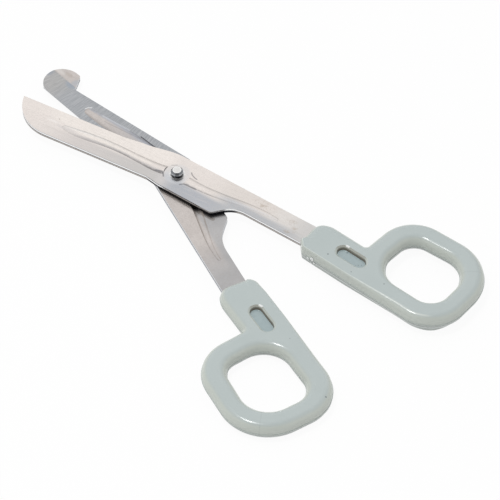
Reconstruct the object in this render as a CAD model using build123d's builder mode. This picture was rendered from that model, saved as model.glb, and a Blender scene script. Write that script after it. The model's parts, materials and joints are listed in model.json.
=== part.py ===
from build123d import *
import os
from math import cos, radians, sin, tan

# Angled bandage scissors: two stamped steel blades on a rivet, each with a plastic handle moulded on it.
# Each half is drawn closed: pivot at the origin, handle towards +X and +Y, inner face down.
# The upper half is then opened about the pivot, and the lower half is turned over and opened the other way.

# How the halves stand
opening = 18.6  # angle between the halves as they lie
running_gap = 0.05  # play between the two inner faces

# Blades
sheet = 1.8  # steel thickness
bend = 11.2  # blades against the closing line
edge_reach = 7.2  # cutting edge from the pivot's line
bevel_width = 0.8  # steep ground bevel on the outer face
edge_land = 0.2  # steel left standing at the cutting edge

# Upper blade
upper_length = 70.4  # pivot to the sharp corner at the nose
spine_reach = 6.3  # back of the blade from the pivot's line
nose_start = 53.2  # where the back begins to round up to the corner
edge_end = 18.5  # where the cutting edge ends and swells to the heel
grind_run = 8.0  # length over which the ground bevel runs out
neck = 9.0  # where the back meets the heel

# Lower blade
hook_root_along = 60.0  # pivot to the root of the hook
hook_root_across = 0.9
hook_lean = 4.6  # back corner of the hook past its root
nose_ahead = 6.5  # centre of the round probe nose past the hook's root
hook_round = 1.2
lip_line = 1.4  # fold of the hook's lip from the pivot's line
lip_angle = 5  # lip turned away from the inner face

# Heels and tangs
tang_angle = 4.8  # tang against the closing line
tang_outer = 8.3  # outer edge from the pivot
tang_width = 9.2
tang_grip = 23.0  # tang hidden inside the handle
shoulder_drop = 7.9  # shoulder edge from the pivot
heel_round = 1.5
upper_shoulder = 20.8
upper_root = 26.4  # where the shoulder runs out into the tang
upper_root_radius = 9.0
upper_heel = 2.7  # heel corner behind the pivot
lower_shoulder = 25.6
lower_root = 33.9
lower_root_radius = 15.0
lower_heel = 6.2
heel_blend = 14.0  # rounding between cutting edge and heel of the lower blade

# Pressed rib: a soft round swelling on the outer face, a hollow on the inner one
press_share = 0.2  # its height as a share of its half width
press_root = 0.2  # how far it starts below the face
coin_radius = 5.0  # flat struck round the pivot
upper_rib_length = 48.0
upper_rib = ((-0.8, 2.0), (0.6, 1.9), (-0.4, 1.6), (-0.25, 1.95), (0.1, 1.1))  # across, half width; even steps
lower_rib_length = 47.5
lower_rib = ((1.6, 3.2), (0.9, 3.2), (0.2, 3.0), (-1.0, 2.7), (-2.5, 1.7))
tang_rib_length = 42.0
tang_rib = ((0, 2.2), (-0.5, 1.7), (0.7, 1.5), (2.6, 1.1), (3.1, 0.6))

# Pivot rivet
pin_radius = 1.6
pin_play = 0.05  # in the upper blade
head_radius = 2.3
head_height = 2.2
head_top_radius = 1.6
tail_radius = 2.6
tail_height = 0.8

# Handles
handle_front = 55.0  # pivot to the front face, along the tang
front_margin = 1.2  # front face past the tang at either edge
closing_gap = 0.8  # inner edge from the closing line
front_length = 4.3  # front face to the full width of the shank
shank_side = 16.2  # outer edge of the shank
shank_length = 14.9  # full width to the notch where the loop leaves the shank
loop_length = 42.9  # notch to the far end
loop_side = 40.1  # outer side of the loop at its far end
loop_fall = 1.8  # how much lower it is at the near end
loop_lean = 1.3  # near side of the loop leans away from the shank
loop_band = 8.2
inner_band = 8.6  # the loop's band along the closing edge
thickness = 6.7
draft = 3
edge_round = 3.0
front_round = 4.8
shank_round = 7.0
notch_round = 1.0
far_inner_share = 0.364  # corner radii of the loop, as shares of its width
far_outer_share = 0.452
near_outer_share = 0.363
hole_near_inner_share = 0.474  # corner radii of the finger hole, as shares of its near side
hole_far_inner_share = 0.332
hole_far_outer_share = 0.49
hole_near_outer_share = 0.304
crisp_rise = 4.5  # the closing edge is crisp behind the front: length it rises over, from the mid plane
crisp_length = 12.0  # length it stands full
crisp_fade = 25.0  # length it sinks back into the round over
crisp_round = 0.9
crisp_blend = 12.0  # bend where it levels out
flash_reach = 0.12  # thin line left by the mould at the mid plane
flash_height = 0.24
recess_before = 0.5  # middle of the recess before the notch
recess_length = 12.2
recess_width = 5.0
recess_depth = 1.6
recess_slope = 14
recess_chamfer = 0.5

nose_centre = hook_root_along + nose_ahead
shank_start = handle_front + front_length
notch = shank_start + shank_length
handle_end = notch + loop_length
loop_width = loop_side - closing_gap
hole_side = loop_width - loop_fall - loop_band - inner_band

inner = running_gap / 2
outer = inner + sheet
middle = inner + sheet / 2
tang_line = Plane.XY.rotated((0, 0, tang_angle))
upper_axis = Plane.XY.rotated((0, 0, 180 + bend))
lower_axis = Plane.XY.rotated((0, 0, 180 - bend))


def at(plane, along, across):
    """A point along and across one of the lines through the pivot; cutting edges are on the minus side."""
    return plane.from_local_coords(Vector(along, across))


def rib_section(half):
    """Section of a pressed rib that is this wide to either side, across and up."""
    with BuildSketch() as section:
        with BuildLine():
            ThreePointArc((-half, 0), (0, press_share * half), (half, 0))
            Polyline((half, 0), (half, -press_root), (-half, -press_root), (-half, 0))
        make_face()
    return section.sketch


def pressed_rib(axis, length, stations):
    """Swelling along a line through the pivot, round at its end and stopped by the flat at the pivot."""
    with BuildPart() as rib:
        for count, (across, half) in enumerate(stations):
            foot = at(axis, length * count / (len(stations) - 1), across)
            upright = Plane(foot, x_dir=axis.y_dir, z_dir=axis.x_dir)
            with BuildSketch(upright):
                add(rib_section(half))
        loft()
        with BuildSketch(upright):
            add(rib_section(half))
            split(bisect_by=Plane.YZ)
        revolve(axis=Axis(foot, (0, 0, 1)))
        Cylinder(coin_radius, 2 * sheet, mode=Mode.SUBTRACT)
    return rib.part


def bevel_profile():
    """Section that the grinding of a cutting edge takes away, across the blade and up."""
    with BuildSketch() as section:
        with BuildLine():
            Polyline(
                (-edge_reach - sheet, inner + edge_land),
                (-edge_reach, inner + edge_land),
                (-edge_reach + bevel_width, outer),
                (-edge_reach + bevel_width, outer + sheet),
                (-edge_reach - sheet, outer + sheet),
                close=True,
            )
        make_face()
    return section.sketch


tang_inner = tang_outer - tang_width
tang_tip = at(tang_line, handle_front + tang_grip, tang_outer)
tang_tip_inner = at(tang_line, handle_front + tang_grip, tang_inner)
grind = bevel_profile()
upper_press = pressed_rib(upper_axis, upper_rib_length, upper_rib)
lower_press = pressed_rib(lower_axis, lower_rib_length, lower_rib)
tang_press = pressed_rib(tang_line, tang_rib_length, tang_rib)

with BuildPart() as upper_blade:
    with BuildSketch(Plane.XY.offset(inner)):
        with BuildLine():
            corner = at(upper_axis, upper_length, -edge_reach)
            edge_stop = at(upper_axis, edge_end, -edge_reach)
            heel_top = at(tang_line, -upper_heel, tang_outer)
            back = FilletPolyline(
                tang_tip_inner,
                at(tang_line, upper_root, tang_inner),
                at(tang_line, upper_shoulder, -shoulder_drop),
                at(tang_line, -upper_heel, -shoulder_drop),
                at(upper_axis, neck, spine_reach),
                at(upper_axis, nose_start, spine_reach),
                radius=(upper_root_radius, heel_round, heel_round, heel_round),
            )
            TangentArc(back @ 1, corner, tangent=upper_axis.x_dir)
            Line(corner, edge_stop)
            Spline(edge_stop, heel_top, tangents=(-upper_axis.x_dir, tang_line.x_dir))
            Line(heel_top, tang_tip)
            Line(tang_tip, tang_tip_inner)
        make_face()
    extrude(amount=sheet)
    for height, mode in ((outer, Mode.ADD), (inner, Mode.SUBTRACT)):
        with Locations((0, 0, height)):
            add(upper_press, mode=mode)
            add(tang_press, mode=mode)
    for along, aside in ((edge_end, bevel_width), (edge_end + grind_run, 0)):
        upright = Plane(at(upper_axis, along, -aside), x_dir=upper_axis.y_dir, z_dir=upper_axis.x_dir)
        with BuildSketch(upright):
            add(grind)
    loft(mode=Mode.SUBTRACT)
    with BuildSketch(upright):
        add(grind)
    extrude(amount=upper_length, mode=Mode.SUBTRACT)
    Hole(pin_radius + pin_play)

with BuildSketch() as lower_outline:
    with BuildLine():
        spread = radians(bend + tang_angle)
        heel_along = (edge_reach - tang_outer * cos(spread)) / sin(spread)
        nose_back = at(lower_axis, nose_centre, edge_reach)
        nose_tip = at(lower_axis, nose_centre + edge_reach, 0)
        nose_edge = at(lower_axis, nose_centre, -edge_reach)
        FilletPolyline(
            tang_tip_inner,
            at(tang_line, lower_root, tang_inner),
            at(tang_line, lower_shoulder, -shoulder_drop),
            at(tang_line, -lower_heel, -shoulder_drop),
            at(lower_axis, hook_root_along, hook_root_across),
            at(lower_axis, hook_root_along + hook_lean, edge_reach),
            nose_back,
            radius=(lower_root_radius, heel_round, heel_round, hook_round, hook_round),
        )
        ThreePointArc(nose_back, nose_tip, nose_edge)
        FilletPolyline(nose_edge, at(tang_line, heel_along, tang_outer), tang_tip, radius=heel_blend)
        Line(tang_tip, tang_tip_inner)
    make_face()

with BuildPart() as lower_blade:
    with BuildSketch(Plane.XY.offset(inner)):
        add(lower_outline.sketch)
    extrude(amount=sheet)
    for height, mode in ((outer, Mode.ADD), (inner, Mode.SUBTRACT)):
        with Locations((0, 0, height)):
            add(lower_press, mode=mode)
            add(tang_press, mode=mode)
    with BuildSketch(Plane(at(lower_axis, lower_heel, 0), x_dir=lower_axis.y_dir, z_dir=lower_axis.x_dir)):
        add(grind)
    extrude(amount=nose_centre + edge_reach - lower_heel, mode=Mode.SUBTRACT)
    lip_length = nose_centre + 2 * edge_reach - hook_root_along
    with BuildSketch(lower_axis.offset(inner)):
        with Locations((hook_root_along, lip_line)):
            Rectangle(lip_length, 2 * edge_reach, align=(Align.MIN, Align.MIN))
    extrude(amount=sheet, mode=Mode.SUBTRACT)
    fold = at(lower_axis, 0, lip_line) + (0, 0, inner)
    leaning = lower_axis.z_dir.rotate(Axis((0, 0, 0), lower_axis.x_dir), lip_angle)
    with BuildSketch(Plane(fold, x_dir=lower_axis.x_dir, z_dir=leaning)):
        add(lower_axis.to_local_coords(lower_outline.sketch).moved(Location((0, -lip_line))))
        with Locations((hook_root_along, 0)):
            Rectangle(lip_length, 2 * edge_reach, align=(Align.MIN, Align.MIN), mode=Mode.INTERSECT)
    extrude(amount=sheet)
    Hole(pin_radius)

with BuildSketch(Plane.XY.offset(middle)) as handle_outline:
    with BuildLine():
        FilletPolyline(
            at(tang_line, handle_front, tang_outer + front_margin),
            at(tang_line, handle_front, tang_inner - front_margin),
            (shank_start, closing_gap),
            (handle_end, closing_gap),
            (handle_end, loop_side),
            (notch + loop_lean, loop_side - loop_fall),
            (notch, shank_side),
            (shank_start, shank_side),
            radius=(
                front_round,
                front_round,
                shank_round,
                far_inner_share * loop_width,
                far_outer_share * loop_width,
                near_outer_share * loop_width,
                notch_round,
                shank_round,
            ),
            close=True,
        )
    make_face()
    with BuildLine():
        FilletPolyline(
            (notch + loop_band, closing_gap + inner_band),
            (handle_end - loop_band, closing_gap + inner_band),
            (handle_end - loop_band, loop_side - loop_band),
            (notch + loop_band + loop_lean, loop_side - loop_fall - loop_band),
            radius=(
                hole_near_inner_share * hole_side,
                hole_far_inner_share * hole_side,
                hole_far_outer_share * hole_side,
                hole_near_outer_share * hole_side,
            ),
            close=True,
        )
    make_face(mode=Mode.SUBTRACT)

wall_lean = thickness / 2 * tan(radians(draft))
with BuildPart() as crisp_edge:
    crisp_wall = Plane((shank_start, closing_gap + wall_lean, middle), x_dir=(1, 0, 0), z_dir=(0, -1, 0))
    with BuildSketch(crisp_wall) as side_view:
        with BuildLine():
            Polyline(
                (0, 0),
                (crisp_rise, thickness / 2),
                (crisp_rise + crisp_length, thickness / 2),
                (crisp_rise + crisp_length + crisp_fade, 0),
                close=True,
            )
        make_face()
        fillet(side_view.vertices().group_by(Axis.Y)[-1], crisp_blend)
    extrude(amount=-edge_round - wall_lean)
    fillet(crisp_edge.faces().sort_by(Axis.Y)[0].edges().sort_by(Axis.Z)[1:], crisp_round)
    mirror(about=Plane.XY.offset(middle))

with BuildPart() as upper_handle:
    add(handle_outline.sketch)
    extrude(amount=thickness / 2, both=True, taper=draft)
    faces_up_down = upper_handle.faces().filter_by(Axis.Z).sort_by(Axis.Z)
    fillet(faces_up_down[0].edges() + faces_up_down[-1].edges(), edge_round)
    add(crisp_edge.part)
    with BuildSketch(Plane.XY.offset(middle)):
        add(handle_outline.sketch_local)
        offset(amount=flash_reach)
    extrude(amount=flash_height / 2, both=True)
    for side in (1, -1):
        with BuildSketch(Plane.XY.offset(middle + side * thickness / 2)):
            with Locations((notch - recess_before, (closing_gap + shank_side) / 2)):
                SlotOverall(recess_length, recess_width)
        extrude(amount=recess_depth, dir=(0, 0, -side), taper=recess_slope, mode=Mode.SUBTRACT)
        chamfer(upper_handle.edges(Select.LAST).group_by(Axis.Z)[-1 if side > 0 else 0], recess_chamfer)
    add(upper_blade.part, mode=Mode.SUBTRACT)

with BuildPart() as lower_handle:
    add(upper_handle.part)

with BuildPart() as pivot_rivet:
    with BuildSketch(Plane.XZ):
        with BuildLine():
            Polyline(
                (0, -outer - tail_height),
                (tail_radius - tail_height / 2, -outer - tail_height),
                (tail_radius, -outer - tail_height / 2),
                (tail_radius, -outer),
                (pin_radius, -outer),
                (pin_radius, outer + pin_play),
                (head_radius, outer + pin_play),
                (head_radius, outer + head_height - (head_radius - head_top_radius)),
                (head_top_radius, outer + head_height),
                (0, outer + head_height),
                close=True,
            )
        make_face()
    revolve(axis=Axis.Z)

# The halves opened about the pivot, then everything stood on the ground under the middle of its box
opened = Location((0, 0, 0), (0, 0, opening / 2))
turned_over = Location((0, 0, 0), (0, 0, -opening / 2)) * Location((0, 0, 0), (180, 0, 0))
placed = {
    "upper_blade": upper_blade.part.moved(opened),
    "upper_handle": upper_handle.part.moved(opened),
    "lower_blade": lower_blade.part.moved(turned_over),
    "lower_handle": lower_handle.part.moved(turned_over),
    "pivot_rivet": pivot_rivet.part,
}
box = Compound(list(placed.values())).bounding_box()
centre = box.center()
to_ground = Location((-centre.X, -centre.Y, -box.min.Z))
print("pivot at", to_ground.position, "box", box.size)

os.makedirs("parts", exist_ok=True)
for name, piece in placed.items():
    piece = piece.moved(to_ground)
    piece.label = name
    export_step(piece, f"parts/{name}.step")
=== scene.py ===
# %% [markdown]
# # Bandage scissors, dressed in Blender
# The shapes come ready from the CAD model: two stamped blades, the rivet between them and two moulded handles.
# What is left for Blender is what the eye reads as material: satin steel, a ground inner face with its cross grain,
# sheared edges, stains, and pale grey plastic with the marks of its mould. This file goes through them one at a time.

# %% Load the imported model
import json
from math import cos, pi, radians, sin, tan

import bmesh
import bpy
from mathutils import Matrix, Vector


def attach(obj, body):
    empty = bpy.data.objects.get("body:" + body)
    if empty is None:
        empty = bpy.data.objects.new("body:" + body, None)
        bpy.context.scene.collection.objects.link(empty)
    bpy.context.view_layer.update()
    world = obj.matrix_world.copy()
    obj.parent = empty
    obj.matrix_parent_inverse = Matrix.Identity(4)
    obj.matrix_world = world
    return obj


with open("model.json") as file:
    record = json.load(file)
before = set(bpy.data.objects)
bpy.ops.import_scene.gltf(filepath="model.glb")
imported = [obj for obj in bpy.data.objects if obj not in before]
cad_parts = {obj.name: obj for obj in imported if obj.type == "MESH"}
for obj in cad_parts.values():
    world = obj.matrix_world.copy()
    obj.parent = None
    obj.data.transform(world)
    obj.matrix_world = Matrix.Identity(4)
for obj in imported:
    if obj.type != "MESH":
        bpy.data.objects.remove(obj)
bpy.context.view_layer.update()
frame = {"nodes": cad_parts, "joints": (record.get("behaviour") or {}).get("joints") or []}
nodes = frame["nodes"]
pivot = Vector(frame["joints"][0]["pos_m"])
mm = 0.001
print("nodes", sorted(nodes), "pivot", tuple(round(c, 4) for c in pivot))

# %% [markdown]
# ## The camera
# The photograph was taken with a long lens from above, with the handles nearer than the blades. Matching the outlines
# of the loops, slots and blades gave one camera. Its direction is written as an angle above the table and an angle
# round the rivet, because those are easy to check against the picture. A camera looks down its own minus Z, so the
# three columns of its matrix are right, up and back.

# %% Place the camera
def heading(around, above):
    """The unit vector at these two angles in degrees."""
    a, e = radians(around), radians(above)
    return Vector((cos(e) * cos(a), cos(e) * sin(a), sin(e)))


roll = radians(-0.231)
reach, focal, picture_width = 0.7418, 2119.0, 500
aim = pivot + Vector((0.04355, -0.00225, 0.0))
back = heading(-39.80, 48.817)
right = Vector((0, 0, 1)).cross(back).normalized()
up = back.cross(right)
right, up = right * cos(roll) + up * sin(roll), up * cos(roll) - right * sin(roll)
lens = bpy.data.cameras.new("camera")
lens.sensor_width = 36.0
lens.lens = lens.sensor_width * focal / picture_width
eye = bpy.data.objects.new("camera", lens)
bpy.context.scene.collection.objects.link(eye)
eye.matrix_world = Matrix.Translation(aim + back * reach) @ Matrix((right, up, back)).transposed().to_4x4()
bpy.context.scene.camera = eye
bpy.context.scene.view_settings.view_transform = "Standard"
print("lens", round(lens.lens, 1), "mm at", tuple(round(c, 3) for c in eye.location))

# %% [markdown]
# ## Shader sums
# A material is a small calculation done at every point of a surface. Written as a node graph it soon becomes a web,
# so a socket is wrapped in a class that understands plus, minus, times and divide. Everything else, from noise to
# colour mixing, comes through one method that sets a node up and hands back one of its outputs.

# %% A socket that can be calculated with
class Wire:
    """One output of a node, which adds Math nodes when it is calculated with."""

    def __init__(self, tree, socket=None):
        self.tree = tree
        self.socket = socket

    def node(self, kind, settings=None, sockets=None, out=0):
        """Adds a node: first its settings, then the values or links of its sockets."""
        made = self.tree.nodes.new(kind)
        for name, value in (settings or {}).items():
            setattr(made, name, value)
        for name, value in (sockets or {}).items():
            if isinstance(value, Wire):
                self.tree.links.new(value.socket, made.inputs[name])
            else:
                made.inputs[name].default_value = value
        return Wire(self.tree, made.outputs[out])

    def sum(self, operation, *values):
        return self.node("ShaderNodeMath", {"operation": operation}, dict(enumerate(values)))

    def __add__(self, other):
        return self.sum("ADD", self, other)

    def __sub__(self, other):
        return self.sum("SUBTRACT", self, other)

    def __rsub__(self, other):
        return self.sum("SUBTRACT", other, self)

    def __mul__(self, other):
        return self.sum("MULTIPLY", self, other)

    def __truediv__(self, other):
        return self.sum("DIVIDE", self, other)

    def __abs__(self):
        return self.sum("ABSOLUTE", self)

    __radd__ = __add__
    __rmul__ = __mul__

    def step(self, low, high):
        """0 at low, 1 at high and a smooth change between them, whichever of the two is larger."""
        first, last = min(low, high), max(low, high)
        rise = self.node("ShaderNodeMapRange", {"interpolation_type": "SMOOTHSTEP"},
                         {"Value": self, "From Min": first, "From Max": last})
        return rise if low < high else 1 - rise


def linear(red, green, blue):
    """A colour read off a screen, from 0 to 255, as the light it stands for."""
    return tuple((c / 255 / 12.92) if c < 10.4 else ((c / 255 + 0.055) / 1.055) ** 2.4 for c in (red, green, blue))


def mix(factor, first, second):
    """Colours go through Mix, because a Math node would turn them grey."""
    colours = {6: first, 7: second}
    colours = {k: v if isinstance(v, Wire) else (*linear(*v), 1.0) for k, v in colours.items()}
    return factor.node("ShaderNodeMix", {"data_type": "RGBA"}, {0: factor, **colours}, out=2)


print("mid grey", tuple(round(c, 3) for c in linear(128, 128, 128)))

# %% [markdown]
# ## A finish starts from the place on the piece
# Each finish changes from place to place: ground here, satin there, dark along the sheared edge. The place is read in
# millimetres from the rivet, and turned so that one direction runs along the blade or the tang. These are the piece's
# own coordinates, so the finish stays on the steel when the scissors open.

# %% Start a finish
def finish(name):
    """A new material, its shader and the place in millimetres from the rivet."""
    material = bpy.data.materials.new(name)
    material.use_nodes = True
    tree = material.node_tree
    shader = tree.nodes["Principled BSDF"]
    place = Wire(tree).node("ShaderNodeTexCoord", out="Object")
    place = place.node("ShaderNodeVectorMath", {"operation": "SUBTRACT"}, {0: place, 1: pivot})
    place = place.node("ShaderNodeVectorMath", {"operation": "SCALE"}, {0: place, "Scale": 1 / mm})
    return material, shader, place


def parts(vector):
    """The three numbers of a vector."""
    return [vector.node("ShaderNodeSeparateXYZ", {}, {0: vector}, out=i) for i in range(3)]


def turned(place, angle):
    """The place along, across and above a line through the rivet at this angle, as a vector and as numbers."""
    spun = place.node("ShaderNodeVectorRotate", {"rotation_type": "Z_AXIS"},
                      {"Vector": place, "Angle": -radians(angle)})
    return spun, parts(spun)


print("finishes measure from", tuple(round(c / mm, 2) for c in pivot), "mm")

# %% [markdown]
# ## Masks
# A mask is a number from 0 to 1 that says where on the piece a tone goes. It comes from the slope of the surface, from
# noise, or from spots and lines drawn at a place along and across. The product of masks holds where all of them hold.

# %% Masks
def facing(place):
    """How far the surface faces up or down: 1 on the flat of the sheet, 0 on its edge."""
    return abs(parts(place.node("ShaderNodeTexCoord", out="Normal"))[2])


def lean(place, angle):
    """How far the surface leans to the left of a line at this angle: the sine of its slope."""
    normal = place.node("ShaderNodeTexCoord", out="Normal")
    left = heading(angle + 90, 0)
    return place.node("ShaderNodeVectorMath", {"operation": "DOT_PRODUCT"}, {0: normal, 1: left}, out="Value")


def grain(place, stretch, detail, rough=0.5):
    """Noise from 0 to 1, stretched by millimetres along, across and above."""
    scale = tuple(1 / s for s in stretch)
    spread = place.node("ShaderNodeVectorMath", {"operation": "MULTIPLY"}, {0: place, 1: scale})
    return place.node("ShaderNodeTexNoise", {}, {"Vector": spread, "Scale": 1.0, "Detail": detail, "Roughness": rough})


def spot(along, across, middle, size, soft):
    """1 in the middle of an oval spot and 0 outside it; soft is the share of its size over which it fades."""
    a = (along - middle[0]) / size[0]
    b = (across - middle[1]) / size[1]
    return (a * a + b * b).step(1.0, (1 - soft) ** 2)


def stroke(along, across, points, width):
    """1 on a line drawn through the points and 0 where it is further off than its width."""
    nearest = None
    for (a, b), (c, d) in zip(points, points[1:]):
        run, rise = c - a, d - b
        far = (along - a) * run + (across - b) * rise
        share = far.node("ShaderNodeClamp", {}, {"Value": far / (run * run + rise * rise)})
        x, y = along - a - share * run, across - b - share * rise
        gap = x * x + y * y
        nearest = gap if nearest is None else gap.sum("MINIMUM", gap, nearest)
    return nearest.step(width * width, width * width * 0.1)


def dabbed(tone, along, across, marks):
    """The tone with oval spots on it: middle, size, softness, strength and colour of each."""
    for middle, size, soft, strength, colour in marks:
        tone = mix(spot(along, across, middle, size, soft) * strength, tone, colour)
    return tone


def drawn(tone, along, across, marks):
    """The tone with lines on it: points, width, strength and colour of each."""
    for points, width, strength, colour in marks:
        tone = mix(stroke(along, across, points, width) * strength, tone, colour)
    return tone


print("masks", [mask.__name__ for mask in (facing, lean, grain, spot, stroke)])

# %% Putting a finish on
def plug(shader, **wires):
    """Links what changes over the surface, and sets what does not."""
    for name, value in wires.items():
        socket = shader.inputs[name.replace("_", " ")]
        if isinstance(value, Wire):
            value.tree.links.new(value.socket, socket)
        else:
            socket.default_value = value


def dress(material, *names):
    """Gives CAD nodes their finish."""
    for name in names:
        nodes[name].data.materials.clear()
        nodes[name].data.materials.append(material)
        print(name, "wears", material.name, "with", len(material.node_tree.nodes), "nodes")


print("pieces to dress", len(nodes))

# %% [markdown]
# ## The upper blade
# The face on show is the outer one, satin from the rolling mill. Its tone is painted with reflections: the strip beside
# the cutting edge is painted brightest, the strip along the back greyer, and the heel, which the stamping left a touch
# out of true, is painted cooler, as it mirrors a cooler part of the room. The tang has a painted cool reflection in a
# band under its rib, and a few brown stains from handling. All of this could be painted by hand, but masks worked out
# from the place along and across keep it sharp and easy to move.

# %% Lines of the blades
opening, bend, tang = 18.6, 11.2, 4.8
upper_line = 180 + bend + opening / 2
lower_line = 180 + bend - opening / 2
upper_tang_line = tang + opening / 2
lower_tang_line = -upper_tang_line
sheet, coin = 1.8, 5.0
print("upper blade along", upper_line, "lower blade along", lower_line)

# %% Tones of the upper blade
satin, shader, place = finish("satin_steel")
along, (u, s, z) = turned(place, upper_line)
_, (t, w, _) = turned(place, upper_tang_line)
flat = facing(place).step(0.15, 0.4)
cloud = grain(place, (13, 13, 13), 3.0)
mottle = grain(place, (2.2, 2.2, 2.2), 3.0, 0.6)
speckle = grain(place, (0.4, 0.4, 0.4), 2.0)
steel = mix(cloud, (226, 218, 213), (235, 228, 223))
# Painted reflection: the strip beside the cutting edge is painted brighter, and the strip along the back greyer.
steel = mix(s.step(-0.8, -2.4) * u.step(0, 8) * 0.8, steel, (240, 233, 227))
steel = mix(u.step(50, 62) * 0.7, steel, (230, 222, 217))
spine = mix(u.step(12, 45), (201, 198, 196), (212, 206, 203))
steel = mix(s.step(0.8, 2.8) * u.step(2, 7) * u.step(60, 38), steel, spine)
steel = mix(t.step(8, 24), steel, mix(cloud, (218, 211, 206), (228, 221, 215)))
# Painted reflection: the heel is painted a cooler grey, as it mirrors a cooler part of the room.
heel = w.step(-1.2, -3.6) * t.step(-8, 3) * t.step(27, 21)
steel = mix(heel, steel, mix(cloud, (172, 175, 181), (184, 187, 193)))
steel = mix(t.step(36, 44) * 0.6, steel, (222, 219, 216))
steel = mix(t.step(44, 54), steel, (206, 204, 202))
# Painted reflection: a cool band is painted under the rib of the tang.
band = w.step(3.2, 0.2) * t.step(16, 25) * t.step(58, 46)
steel = mix(band * 0.95, steel, mix(cloud, (176, 179, 184), (188, 190, 193)))
print("upper blade zones mixed")

# %% [markdown]
# ### The rib and the coined ring
# The rib was pressed up from behind. Its crest and the slope towards the cutting edge are painted bright as painted
# highlight, the side towards the back of the blade is painted grey as painted reflection, and painted dark lines of
# shade run along the feet. The slope of the surface finds all three. Round the rivet the sheet was struck flat again,
# which leaves a cool ring; a painted highlight makes a bright rim under the rivet's head, and painted dark lines of
# shade hook round where each end of the rib was cut short.

# %% Rib and ring
front, rear = lean(place, upper_line) * u.step(3, 6), lean(place, upper_tang_line) * t.step(3, 6)
# Painted highlight on the crest and on the slope towards the cutting edge, painted grey reflection on the other slope,
# and painted dark lines of shade at the feet of the ribs.
steel = mix(abs(s + 0.3).step(1.8, 0.3) * u.step(7, 12) * u.step(50, 36) * 0.7, steel, (242, 235, 228))
steel = mix(front.step(0.05, 0.26) * u.step(52, 34) * 0.75, steel, (190, 187, 187))
steel = mix(front.step(0.2, 0.34) * u.step(46, 14) * 0.85, steel, (108, 104, 105))
steel = mix(front.step(-0.04, -0.2) * u.step(16, 44) * 0.9, steel, (250, 246, 242))
steel = mix(front.step(-0.24, -0.36) * u.step(40, 22) * 0.45, steel, (182, 170, 160))
steel = mix(rear.step(-0.24, -0.36) * t.step(38, 14) * 0.75, steel, (122, 120, 122))
# Painted reflection: the lower flank of the tang's rib is painted lighter.
flank = rear.step(-0.02, -0.16) * rear.step(-0.4, -0.28) * t.step(14, 26) * t.step(50, 40)
steel = mix(flank * 0.4, steel, (226, 226, 229))
around = u * u + s * s
ring = around.step((coin + 0.5) ** 2, (coin - 1.2) ** 2)
steel = mix(ring * 0.85, steel, mix(w.step(1.0, -3.2), (218, 215, 214), (202, 205, 210)))
# Painted highlight: a bright ring on the sheet just under the rivet's head.
rim_outer, rim_inner = 3.0, 2.6
rim = around.step(rim_outer ** 2, rim_inner ** 2)
steel = mix(rim * 0.9, steel, (252, 252, 252))
# Painted shade: dark hooked lines where the ends of the ribs meet the ring.
steel = drawn(steel, u, s, [([(7.6, 2.2), (5.3, 1.7), (4.4, 2.4), (3.8, 3.3)], 0.36, 0.8, (112, 112, 118))])
steel = drawn(steel, t, w, [([(3.8, -3.5), (4.9, -2.5), (6.6, -2.4), (10.0, -2.2)], 0.36, 0.7, (112, 112, 118)),
                            ([(3.9, 3.5), (4.7, 2.8), (6.2, 2.2), (7.4, 2.0)], 0.32, 0.7, (124, 122, 124))])
steel = drawn(steel, u, s, [([(4.0, -2.7), (3.1, -3.3), (2.2, -3.8)], 0.26, 0.5, (150, 146, 142))])
print("rib and ring drawn round the rivet, coin radius", coin)

# %% [markdown]
# ### Stains, specks and the sheared edge
# Stains are broken up by noise so that they look grown and not stamped. A sheared edge has bands: a thin dark line
# where the face ends, a burnished strip that the punch rubbed bright, a dark line where the steel began to tear, and a
# dull foot where it tore. These bands are partly the real finish of the edge and partly painted highlight and shade.
# From the height in the sheet they are simple.

# %% Marks of the upper blade
stain = spot(t, w, (34.5, 6.0), (5.5, 2.2), 0.95) + spot(t, w, (47.0, 5.0), (3.0, 1.8), 0.95) * 0.8
stain = stain + spot(t, w, (50.2, 2.4), (2.6, 1.8), 0.95) + spot(t, w, (48.6, 0.4), (2.4, 1.2), 0.95)
steel = mix(stain * mottle.step(0.45, 0.7) * 0.5, steel, (172, 156, 138))
steel = mix(stain * speckle.step(0.55, 0.72) * 0.45, steel, (150, 138, 124))
# A small dark mark, a painted highlight as a light streak near the tip, and a darker streak.
steel = dabbed(steel, u, s, [((52.1, -2.6), (0.34, 0.3), 0.5, 0.7, (140, 130, 124)),
                             ((53.4, -0.7), (4.5, 0.7), 0.9, 0.5, (245, 241, 237)),
                             ((47.0, 0.5), (6.0, 0.8), 0.9, 0.45, (204, 201, 202))])
steel = mix(grain(along, (10, 0.5, 9), 2.0).step(0.5, 0.8) * 0.2, steel, (196, 189, 185))
steel = mix(grain(along, (9, 0.7, 9), 2.0).step(0.5, 0.78) * 0.14, steel, (246, 241, 237))
steel = mix(grain(place, (0.8, 0.8, 0.8), 2.0).step(0.35, 0.75) * 0.22, steel, (200, 194, 190))
steel = mix(speckle.step(0.62, 0.8) * mottle.step(0.45, 0.7) * 0.07, steel, (186, 176, 168))
tear, black = 0.85, (44, 46, 50)
burnish_and_highlight = mix(mottle, (240, 241, 243), (254, 254, 254))
sheared_edge_and_painted_light = mix(z.step(tear, 1.0), mix(mottle, (182, 174, 168), (208, 202, 196)), burnish_and_highlight)
sheared_edge_and_painted_light = mix(abs(z - tear).step(0.24, 0.1) * 0.9, sheared_edge_and_painted_light, (64, 66, 72))
sheared_edge_and_painted_light = mix(z.step(1.6, 1.72) * 0.8, sheared_edge_and_painted_light, (84, 86, 91))
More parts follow.
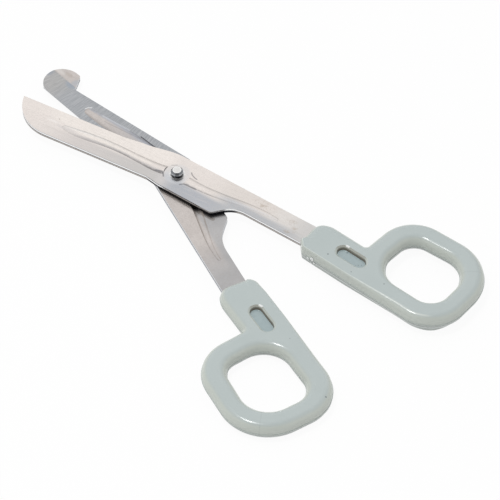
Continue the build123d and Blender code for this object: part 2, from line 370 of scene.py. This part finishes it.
# Painted highlight over painted shade: on the concave arc and along the heel, a bright line above a black one.
arc = t.step(13, 16) * t.step(29, 26) * w.step(-1.0, -1.6)
sheared_edge_and_painted_light = mix(arc, sheared_edge_and_painted_light, mix(z.step(1.0, 1.25), black, (250, 250, 250)))
heel_edge = t.step(-9, -7) * t.step(17, 15) * w.step(-4, -5)
heel_highlight_and_shade = mix(z.step(1.42, 1.55), (252, 252, 252), (88, 90, 96))
sheared_edge_and_painted_light = mix(heel_edge, sheared_edge_and_painted_light, mix(z.step(0.8, 0.95), black, heel_highlight_and_shade))
# Painted shadow: a black line at the foot of the edge, in the gap between the blades.
sheared_edge_and_painted_light = mix(z.step(0.32, 0.16), sheared_edge_and_painted_light, (30, 31, 34))
steel = mix(flat, sheared_edge_and_painted_light, steel)
plug(shader, Base_Color=steel, Metallic=1.0, Roughness=0.24 + 0.06 * cloud + 0.12 * (1 - flat) + 0.25 * rim)
dress(satin, "upper_blade")

# %% [markdown]
# ## The lower blade
# Here the inner face is on show. It is ground flat along the cutting part, across the blade, which leaves a fine cross
# grain and a greyer tone. The scratches fan out a little, as arcs of a wheel do, so they are drawn as lines from one
# far point. The pressed hollow and the hook's lip lie below the wheel and keep the warm mill finish. That is also how
# the material finds them: whatever stands at the height of the flat face was touched by the wheel.

# %% Ground face
ground, shader, place = finish("ground_steel")
_, (u, s, z) = turned(place, lower_line)
_, (t, w, _) = turned(place, lower_tang_line)
flat = facing(place).step(0.15, 0.4)
cloud = grain(place, (11, 11, 11), 3.0, 0.6)
mottle = grain(place, (1.6, 1.6, 1.6), 3.0, 0.6)
fan, fan_start = 125.0, 60
sweep = (u - fan_start) * fan / (s + fan)
swept = sweep.node("ShaderNodeCombineXYZ", {}, {0: sweep, 1: s, 2: z})
scratch = grain(swept, (0.34, 7, 9), 2.0, 0.7).step(0.3, 0.7)
bright = grain(swept, (0.4, 6, 9), 1.0).step(0.66, 0.76)
dull = grain(swept, (0.6, 12, 9), 1.0).step(0.38, 0.28)
wheel = mix(scratch, (160, 163, 167), (188, 190, 193))
wheel = mix(u.step(58, 68) * 0.8, wheel, mix(scratch, (172, 171, 170), (196, 194, 192)))
wheel = mix(bright * 0.6, wheel, (214, 215, 216))
wheel = mix(dull * 0.4, wheel, (150, 152, 157))
wheel = dabbed(wheel, u, s, [((63.0, -1.6), (3.4, 2.6), 0.9, 0.6, (158, 169, 182)),
                             ((75.0, 0.4), (3.4, 3.2), 0.9, 0.6, (148, 158, 172))])
touched = z.step(-0.07, -0.035) * u.step(-3, 2)
print("scratches fan out from", fan, "mm away")

# %% [markdown]
# ### Mill finish of the hollow, the lip and the tang
# Here the sheet is as it was rolled: warm, cloudy and a little stained. The side of the hollow gets a cool painted
# reflection, and thin brown lines are drawn along both feet of the pressed groove in the tang. Where the other blade
# covers this one, the groove is painted dark as a painted shadow. The rim of the hollow has a painted highlight line, a
# painted dark line of shade and a painted glint.

# %% Mill finish
rolled = cloud.step(0.3, 0.7)
mill = mix(rolled, (197, 190, 186), (208, 201, 197))
mill = mix(w.step(-2.2, -0.2) * t.step(14, 22) * 0.85, mill, mix(rolled, (172, 173, 175), (183, 183, 184)))
mill = mix(t.step(30, 52), mill, mix(rolled, (171, 170, 171), (183, 182, 182)))
mill = mix(u.step(42, 22) * u.step(4, 8) * 0.7, mill, (184, 182, 184))
side, groove = lean(place, lower_line) * u.step(4, 8), lean(place, lower_tang_line) * t.step(4, 8)
# Painted reflection on the side of the hollow, and a painted dark line of shade along its crease near the rivet.
mill = mix(side.step(0.12, 0.3) * 0.7, mill, (176, 182, 193))
mill = mix(side.step(0.28, 0.38) * u.step(34, 24) * 0.85, mill, (92, 94, 102))
mill = mix(abs(groove).step(0.2, 0.34) * 0.75, mill, (148, 134, 122))
mill = mix(mottle.step(0.5, 0.75) * 0.22 * (1 - u.step(4, 8) * 0.6), mill, (168, 161, 156))
mill = mix(grain(place, (0.7, 0.7, 0.7), 2.0).step(0.35, 0.75) * 0.3, mill, (172, 167, 164))
# On the hook's lip: a painted highlight in its middle, a darker patch, and a cool painted reflection at its corner.
mill = dabbed(mill, u, s, [((71.6, -3.0), (3.6, 1.3), 0.9, 0.7, (217, 212, 208)),
                           ((67.8, -4.4), (2.8, 1.2), 0.9, 0.5, (184, 174, 166)),
                           ((62.6, -3.4), (2.0, 3.0), 0.8, 0.7, (180, 184, 190))])
# Painted shadow: the groove is painted dark near the rivet, where the other blade covers it.
mill = mix(z.step(-0.06, -0.2) * t.step(4, 6) * t.step(18.0, 15.5), mill, (110, 102, 94))
steel = mix(touched, mill, wheel)
# Along the hollow: a painted dark line of shade at its edge near the rivet, a painted highlight line along its upper
# edge, a thin line inside it, and a painted glint at its end.
steel = drawn(steel, u, s, [([(24.4, -3.45), (18.9, -3.72), (14.2, -4.1)], 0.32, 0.85, (72, 72, 78)),
                            ([(42.4, 0.0), (29.9, -2.5)], 0.36, 0.55, (214, 217, 222)),
                            ([(40.0, 1.2), (23.8, -2.8)], 0.26, 0.35, (146, 142, 144)),
                            ([(49.5, 2.6), (49.2, 1.4), (48.3, 0.5)], 0.34, 0.7, (238, 238, 238))])
# Painted shadow and reflection of the other blade's edge: a wide brown-grey strip along the line where that edge lies.
steel = drawn(steel, t, w, [([(2.8, -8.0), (24.0, 2.9)], 1.0, 0.5, (120, 110, 100))])
print("hollow, lip and tang mixed")

# %% Sheared edge of the lower blade
# As on the upper blade, the bands are partly the real finish of the edge and partly painted highlight and shade.
tear = -0.9
burnish_and_highlight = mix(mottle, (222, 224, 228), (244, 245, 247))
sheared_edge_and_painted_light = mix(z.step(-1.0, -0.85), mix(mottle, (150, 153, 159), (182, 185, 190)), burnish_and_highlight)
sheared_edge_and_painted_light = mix(abs(z - tear).step(0.24, 0.1) * 0.75, sheared_edge_and_painted_light, (96, 99, 106))
sheared_edge_and_painted_light = mix(z.step(-0.26, -0.1) * 0.7, sheared_edge_and_painted_light, (104, 107, 113))
sheared_edge_and_painted_light = mix(z.step(-1.6, -1.76), sheared_edge_and_painted_light, (70, 72, 78))
steel = mix(flat, sheared_edge_and_painted_light, steel)
plug(shader, Base_Color=steel, Metallic=1.0, Roughness=0.26 + 0.1 * touched + 0.07 * cloud + 0.1 * (1 - flat))
dress(ground, "lower_blade")

# %% [markdown]
# ## The rivet
# A turned pin, peened over. Its flat top mirrors the bright side of the room and its side mirrors the dark side, and
# the
# colour paints this too: a painted highlight ring at the edge of the top, a painted bright reflection in a band under
# the chamfer, a darker grey chamfer, and below the band a side painted nearly black as a painted dark reflection, with
# painted glints in patches.

# %% Rivet steel
polished, shader, place = finish("rivet_steel")
x, y, z = parts(place)
flat = facing(place).step(0.8, 0.95)
dust = grain(place, (0.6, 0.6, 0.6), 2.0)
reflection_noise = grain(place, (1.3, 1.3, 0.5), 1.0)
steel = mix(dust, (212, 211, 209), (228, 227, 225))
bevel_inner, bevel_outer = 1.2, 1.45
# Painted highlight: a bright ring at the edge of the top.
steel = mix((x * x + y * y).step(bevel_inner ** 2, bevel_outer ** 2) * 0.8, steel, (246, 246, 245))
# Painted dark reflection on the side with painted glints in patches; above it a painted bright band and a darker grey
# chamfer.
barrel = mix(reflection_noise.step(0.52, 0.64), (40, 41, 43), (150, 151, 152))
barrel = mix(z.step(2.85, 3.0), barrel, mix(reflection_noise.step(0.35, 0.6), (176, 181, 187), (226, 229, 232)))
barrel = mix(z.step(3.35, 3.5), barrel, mix(reflection_noise, (120, 123, 128), (168, 170, 173)))
plug(shader, Base_Color=mix(flat, barrel, steel), Metallic=1.0, Roughness=0.1 + 0.12 * dust)
dress(polished, "pivot_rivet")

# %% [markdown]
# ## The handles
# Injection-moulded plastic, pale grey with a little green in it, smooth and half glossy. The edges are painted a touch
# yellower and lighter than the flat, as painted light coming through the thin plastic, the floor of the slot is painted
# bluer as painted shade, part of its rim gets a painted shade, and its walls are darker and browner towards the floor.
# A few dark specks and the faint weld where two streams of melt met on the far side of the loop finish it. Both handles
# come out of one mould, so one function makes both finishes: it turns the place back to the closed scissors, and
# for the lower handle turns it over. The lower band of the walls is painted in shade, and a pale line of painted
# highlight runs round the walls where the two halves of the mould met, beside a painted dark line; a painted highlight
# line runs along the top of the closing side. The slot is given by its middle, half its length and half its width, the
# weld by one point and the cosine and sine of its direction.

# %% Handle plastic
half_gap = 0.025
mid_plane = half_gap + sheet / 2
slot_x, slot_y, slot_reach, slot_side = 73.7, 8.5, 6.1, 2.5
camera_side = -40
weld_x, weld_y = 109.5, 30.3
weld_cos, weld_sin = 0.78, 0.62
glint_width, glint_radius = 0.42, 2.95


def moulded(name, turn, over, specks, glint):
    """The plastic of one handle; over is -1 for the half that is turned over. The glint lies on the slot's rim."""
    plastic, shader, place = finish(name)
    _, (x, y, z) = turned(place, turn)
    above = z - mid_plane * over
    y = y * over
    flat, height = facing(place), abs(above)
    cloud = grain(place, (12, 12, 12), 3.0)
    mottle = grain(place, (1.3, 1.3, 1.3), 2.0)
    tone = mix(cloud, (179, 189, 188), (186, 195, 194))
    # Painted light: walls and rounds a touch yellower and lighter than the flat, for light that comes through the
    # plastic.
    tone = mix(flat.step(0.99, 0.7) * 0.85, tone, mix(cloud, (197, 203, 195), (202, 207, 199)))
    far, wide = abs(x - slot_x), abs(y - slot_y)
    inside = far.step(slot_reach + 0.3, slot_reach - 0.2) * wide.step(slot_side + 0.3, slot_side - 0.1)
    # Painted shade: the floor of the slot is bluer and darker than the plastic around it.
    bottom = mix(mottle, (157, 173, 176), (169, 184, 186))
    tone = mix(inside * height.step(2.4, 1.9) * flat.step(0.7, 0.9), tone, bottom)
    rim = far.step(slot_reach + 0.7, slot_reach + 0.5) * wide.step(slot_side + 0.7, slot_side + 0.5)
    # Painted shade on the part of the slot's rim that leans towards the camera's side.
    shaded = lean(place, camera_side - 90).step(0.2, 0.5)
    tone = mix(rim * flat.step(0.9, 0.75) * shaded * 0.6, tone, (140, 134, 120))
    # The slot's walls are darker and browner towards the floor.
    tone = mix(inside * height.step(3.2, 1.9) * flat.step(0.8, 0.5) * 0.9, tone, (104, 94, 80))
    # Painted highlight: a light line along the top edge of the closing side.
    edge = y.step(6, 4) * flat.step(0.99, 0.96) * flat.step(0.84, 0.92)
    tone = mix(edge * (0.5 if over > 0 else 0.15), tone, (224, 228, 221))
    # Painted shade on the lower band of the walls, and near the mould's parting line a painted highlight line beside a
    # painted dark line.
    wall = flat.step(0.95, 0.8) * (1 - rim)
    tone = mix(wall * above.step(0.4, -0.8) * 0.6, tone, (166, 173, 172))
    tone = mix(wall * abs(above + 1.3).step(0.36, 0.12) * 0.7, tone, (222, 227, 226))
    tone = mix(wall * abs(above + 0.8).step(0.3, 0.1) * 0.45, tone, (138, 143, 142))
    tone = dabbed(tone, x, y, [(middle, (size, size), 0.6, 0.8, (96, 104, 108)) for middle, size in specks])
    tone = mix(stroke(x, y, glint, glint_width) * height.step(2.6, 2.9) * 0.8, tone, (253, 254, 254))
    off = weld_sin * (x - weld_x) - weld_cos * (y - weld_y)
    out = weld_cos * (x - weld_x) + weld_sin * (y - weld_y)
    tone = mix(abs(off).step(0.35, 0.05) * abs(out).step(7, 5) * 0.16, tone, (150, 158, 158))
    wave = grain(place, (5, 5, 5), 2.0) + 0.06 * grain(place, (0.5, 0.5, 0.5), 2.0)
    bump = wave.node("ShaderNodeBump", {}, {"Strength": 0.06, "Distance": mm, "Height": wave})
    plug(shader, Base_Color=tone, Metallic=0.0, Roughness=0.13 + 0.07 * cloud + 0.05 * mottle, IOR=1.5, Normal=bump)
    return plastic


half = opening / 2
upper_specks = [((66.8, 4.1), 0.38), ((78.0, 3.0), 0.26), ((90.0, 6.1), 0.3), ((70.7, 10.0), 0.3),
                ((77.2, 8.0), 0.2), ((78.0, 8.7), 0.2), ((76.6, 7.4), 0.18)]
lower_specks = [((112.9, 7.4), 0.36), ((86.0, 4.9), 0.2)]
slot_end = Vector((slot_x - slot_reach + slot_side, slot_y, 0))
upper_glint, lower_glint = [[(slot_end + glint_radius * heading(turn, 0))[:2] for turn in turns]
                            for turns in ((88, 97, 106), (230, 240, 250))]
upper_plastic = moulded("upper_plastic", half, 1, upper_specks, upper_glint)
lower_plastic = moulded("lower_plastic", -half, -1, lower_specks, lower_glint)
dress(upper_plastic, "upper_handle")
dress(lower_plastic, "lower_handle")

# %% [markdown]
# ## The closing walls
# The side of each handle that meets the other one is a flat wall with hardly rounded edges, which melt into the round
# of the loop. It starts at the front, at a blunt corner on the upper handle and a round one on the lower. The CAD round
# is one size for the whole handle, so the wall is laid over it as a shell: a section with two edge rounds is carried
# along the side, and its surface sinks into the handle at both ends. A bevel could not do this, because the size of the
# edge changes on the way, and differently above and below. The shell is made for the closed scissors, then turned like
# the handles.

# %% Section of a closing wall
half_height, draft, depth = 3.35, tan(radians(3)), 4.2
crisp, full, raised = 0.85, 2.3, 0.006
sunk, drop, ease = 0.05, 0.01, 0.25


def section(top, low, lift):
    """Its points as distance into the handle and height over the mid plane, for these sizes of the edge rounds."""
    foot, sides = half_height * draft, []
    for edge, sign in ((top, 1), (low, -1)):
        crown = half_height + lift
        points = [(depth, half_height - sunk), (depth - drop, crown), (foot + edge + ease, crown)]
        for k in range(10):
            a, size = radians(90 - 10 * k), edge + lift
            points.append((foot + edge - size * cos(a), half_height - edge + size * sin(a)))
        sides.append([(q, z * sign) for q, z in points])
    return sides[0] + [(-lift, 0.0)] + sides[1][::-1]


print("section has", len(section(crisp, crisp, raised)), "points")

# %% [markdown]
# A station is one place where the section stands: its place on the closed handle, the direction into the handle, the
# sizes of the upper and the lower edge round, and how far the shell lies over the CAD face.

# %% Stations along a closing wall
wall_y = 0.8
corner = [(54.80, 6.0, 10, 3.0, 3.0, -0.30), (54.80, 5.2, 18, 2.2, 2.2, -0.10), (54.80, 4.4, 27, 1.3, 1.3, 0.0)]
for x, y, inward in ((54.83, 3.5, 36), (55.42, 2.88, 42), (56.06, 2.26, 48), (56.7, 1.66, 54), (57.2, 1.20, 60),
                     (57.53, 0.95, 65), (57.9, 0.86, 70), (58.8, 0.83, 77), (60.0, 0.82, 84), (61.5, 0.81, 90)):
    corner.append((x, y, inward, crisp, crisp, raised))
middle_x, middle_y, corner_radius = 59.25, 5.25, 4.45
round_corner = [(54.72, 6.2, 8, 3.0, 3.0, -0.30)]
for turn in range(12, 91, 6):
    x, y = middle_x - corner_radius * cos(radians(turn)), middle_y - corner_radius * sin(radians(turn))
    edge = 1.7 if turn > 20 else 2.4
    round_corner.append((x, y, turn, edge, edge, raised if turn > 12 else -0.1))
round_corner.append((61.8, wall_y, 90, 1.3, 1.3, raised))
run = []
first_edge, growth, growth_from = 0.78, 0.07, 76
for x in range(64, 103, 2):
    edge = min(max(crisp, first_edge + growth * (x - growth_from)), full)
    run.append((x, wall_y, 90, edge, edge, raised))
bend_radius, bend_start, last_turn = 14.3, 102.8, 75
loop = []
for turn in range(0, last_turn + 1, 5):
    x, y = bend_start + bend_radius * sin(radians(turn)), wall_y + bend_radius * (1 - cos(radians(turn)))
    share = (turn / last_turn) ** 1.5
    low = full - 1.4 * min(turn / 35, 1.0) + 2.1 * max(turn - 45, 0) / 30
    loop.append((x, y, 90 + turn, full + 0.7 * share, low, raised - 0.07 * share))
print("closing walls have", len(corner + run + loop), "and", len(round_corner + run + loop), "stations")

# %% Closing walls
spin = {1: Matrix.Rotation(radians(half), 3, "Z"), -1: Matrix.Rotation(radians(-half), 3, "Z")}
creases = (0, 1, -2, -1)


def on_handle(x, y, z, over):
    """A place on the closed upper handle, in millimetres from the rivet, on either handle as it lies."""
    return pivot + spin[over] @ Vector((x, y * over, z * over)) * mm


def closing_wall(name, over, body, plastic, stations):
    """The shell on one handle; over is -1 for the half that is turned over."""
    shell = bmesh.new()
    rings = []
    for x, y, inward, top, low, lift in stations:
        a = radians(inward)
        points = [(x + q * cos(a), y + q * sin(a), mid_plane + z * over) for q, z in section(top, low, lift)]
        rings.append([shell.verts.new(on_handle(*point, over)) for point in points])
    for one, two in zip(rings, rings[1:]):
        for k in range(len(one) - 1):
            shell.faces.new((one[k], one[k + 1], two[k + 1], two[k])).smooth = True
        shell.faces.new((one[-1], one[0], two[0], two[-1])).smooth = True
        for k in creases:
            shell.edges.get((one[k], two[k])).smooth = False
    for end in (rings[0], rings[-1]):
        shell.faces.new(end)
    bmesh.ops.recalc_face_normals(shell, faces=shell.faces)
    piece = bpy.data.objects.new(name, bpy.data.meshes.new(name))
    shell.to_mesh(piece.data)
    shell.free()
    piece.data.materials.append(plastic)
    bpy.context.scene.collection.objects.link(piece)
    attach(piece, body)
    print(name, len(piece.data.polygons), "faces")
    return piece


walls = [closing_wall("upper_closing_wall", 1, "upper_half", upper_plastic, corner + run + loop),
         closing_wall("lower_closing_wall", -1, "lower_half", lower_plastic, round_corner + run + loop)]

# %% [markdown]
# ## Blisters in the moulding
# Near the front of the upper handle, air was caught at the wall of the mould and left a cluster of small blisters.
# Bump would only shade them, and they break the outline of highlights, so each is a little turned shape: a rim with
# a sunk middle, its foot buried in the closing wall, which stands nearly upright.

# %% Blister cluster
def blister(mesh, centre, size, out, count=18):
    """Adds one round blister: profile points are radius and height as shares of its size."""
    profile, dimple = [(0.22, 0.05), (0.42, 0.36), (0.68, 0.46), (0.88, 0.26), (1.0, -0.35)], 0.1
    side = out.cross(Vector((0, 0, 1))).normalized()
    high = side.cross(out)
    spokes = [2 * pi * k / count for k in range(count)]
    rings = []
    for radius, height in profile:
        places = [radius * (cos(a) * side + sin(a) * high) + height * out for a in spokes]
        rings.append([mesh.verts.new(centre + size * place) for place in places])
    middle = mesh.verts.new(centre + size * dimple * out)
    for k in range(count):
        mesh.faces.new((middle, rings[0][k], rings[0][(k + 1) % count]))
        for one, two in zip(rings, rings[1:]):
            mesh.faces.new((one[k], two[k], two[(k + 1) % count], one[(k + 1) % count]))
    mesh.faces.new(list(reversed(rings[-1])))


cluster = bmesh.new()
outward = spin[1] @ Vector((0, -1, 0))
for x, z, size in ((60.6, 0.35, 0.50), (62.4, 1.2, 0.85), (62.3, -0.9, 0.48), (63.3, -0.1, 0.55), (61.4, -0.3, 0.36)):
    blister(cluster, on_handle(x, wall_y + draft * abs(z - mid_plane), z, 1), size * mm, outward)
bmesh.ops.recalc_face_normals(cluster, faces=cluster.faces)
blisters = bpy.data.objects.new("blisters", bpy.data.meshes.new("blisters"))
cluster.to_mesh(blisters.data)
cluster.free()
bpy.context.scene.collection.objects.link(blisters)
for face in blisters.data.polygons:
    face.use_smooth = True
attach(blisters, "upper_half")
print("blisters", len(blisters.data.polygons), "faces")

# %% Blister plastic
skin, shader, place = finish("blister_plastic")
thin = grain(place, (0.5, 0.5, 0.5), 2.0)
_, (_, y, _) = turned(place, half)
# Painted highlight: the rims are painted near white; painted shade: the sunk middle is painted dark.
rim_highlight = mix(thin, (236, 240, 238), (254, 255, 254))
tone = mix(y.step(0.77, 0.69), (128, 134, 134), rim_highlight)
plug(shader, Base_Color=tone, Metallic=0.0, Roughness=0.1 + 0.1 * thin, IOR=1.5)
blisters.data.materials.append(skin)
print("blisters wear", skin.name)

# %% [markdown]
# ## Floor
# A white table. To the camera, and in the reflections in the steel, it is nearly pure white, as in the photograph; to
# the light it is plain matt paper, so it still takes the scissors' shadow.

# %% Floor
floor_size, floor_gap, whiteness = 6.0, 0.0002, 0.94
bpy.ops.mesh.primitive_plane_add(size=floor_size, location=(0, 0, -floor_gap))
floor = bpy.context.object
floor.name = "floor"
paper = bpy.data.materials.new("paper")
paper.use_nodes = True
tree = paper.node_tree
shader = tree.nodes["Principled BSDF"]
plug(shader, Base_Color=(0.92, 0.92, 0.92, 1.0), Roughness=0.9, Specular_IOR_Level=0.0)
kinds = ("Camera", "Glossy", "Transmission")
camera, glossy, through = [Wire(tree).node("ShaderNodeLightPath", out=f"Is {kind} Ray") for kind in kinds]
seen = camera + glossy + through
white = seen.node("ShaderNodeEmission", {}, {"Color": (1, 1, 1, 1), "Strength": 1.0})
share = seen.sum("MINIMUM", seen, 1.0) * whiteness
both = seen.node("ShaderNodeMixShader", {}, {0: share, 1: Wire(tree, shader.outputs[0]), 2: white})
tree.links.new(both.socket, tree.nodes["Material Output"].inputs["Surface"])
floor.data.materials.append(paper)
print("floor", floor.dimensions[:2])

# %% [markdown]
# ## Light
# Steel shows the room more than itself. Flat steel on the table mirrors the far side of the room, so a broad bright
# panel stands there. Slopes that lean towards the camera mirror the ceiling, which is dimmer, and steep ones mirror
# the dark room behind the camera. One small softbox nearly overhead gives the sharp highlights on the plastic: its
# direction was worked out from where those highlights sit on the rounded edges. It is kept off the blades, where it
# would leave a streak that the photograph does not show.

# %% Room
world = bpy.data.worlds.new("studio")
bpy.context.scene.world = world
world.use_nodes = True
tree = world.node_tree
sky = Wire(tree).node("ShaderNodeTexCoord", out="Generated")


def near(direction):
    """The cosine of the angle between a place in the sky and a direction."""
    return sky.node("ShaderNodeVectorMath", {"operation": "DOT_PRODUCT"}, {0: sky, 1: direction}, out="Value")


panel_side = heading(150, 52)
ceiling, panel_gain, behind_loss = 0.65, 0.39, 0.40
panel = near(panel_side).step(0.80, 0.94)
behind = near(back).step(0.80, 0.95)
light = ceiling + panel_gain * panel - behind_loss * behind
background = tree.nodes["Background"]
tree.links.new(light.socket, background.inputs["Strength"])
background.inputs["Color"].default_value = (1.0, 1.0, 1.0, 1.0)
print("room lit from", tuple(round(c, 2) for c in panel_side))

# %% Softbox
lamp = bpy.data.lights.new("softbox", "AREA")
lamp.size = 0.13
lamp.energy = 2.2
softbox = bpy.data.objects.new("softbox", lamp)
bpy.context.scene.collection.objects.link(softbox)
lamp_side, lamp_reach = heading(-118, 75), 0.8
softbox.location = aim + lamp_side * lamp_reach
softbox.rotation_euler = lamp_side.to_track_quat("Z", "Y").to_euler()
lit = bpy.data.collections.new("lit_by_softbox")
for piece in (nodes["upper_handle"], nodes["lower_handle"], nodes["pivot_rivet"], *walls, blisters, floor):
    lit.objects.link(piece)
softbox.light_linking.receiver_collection = lit
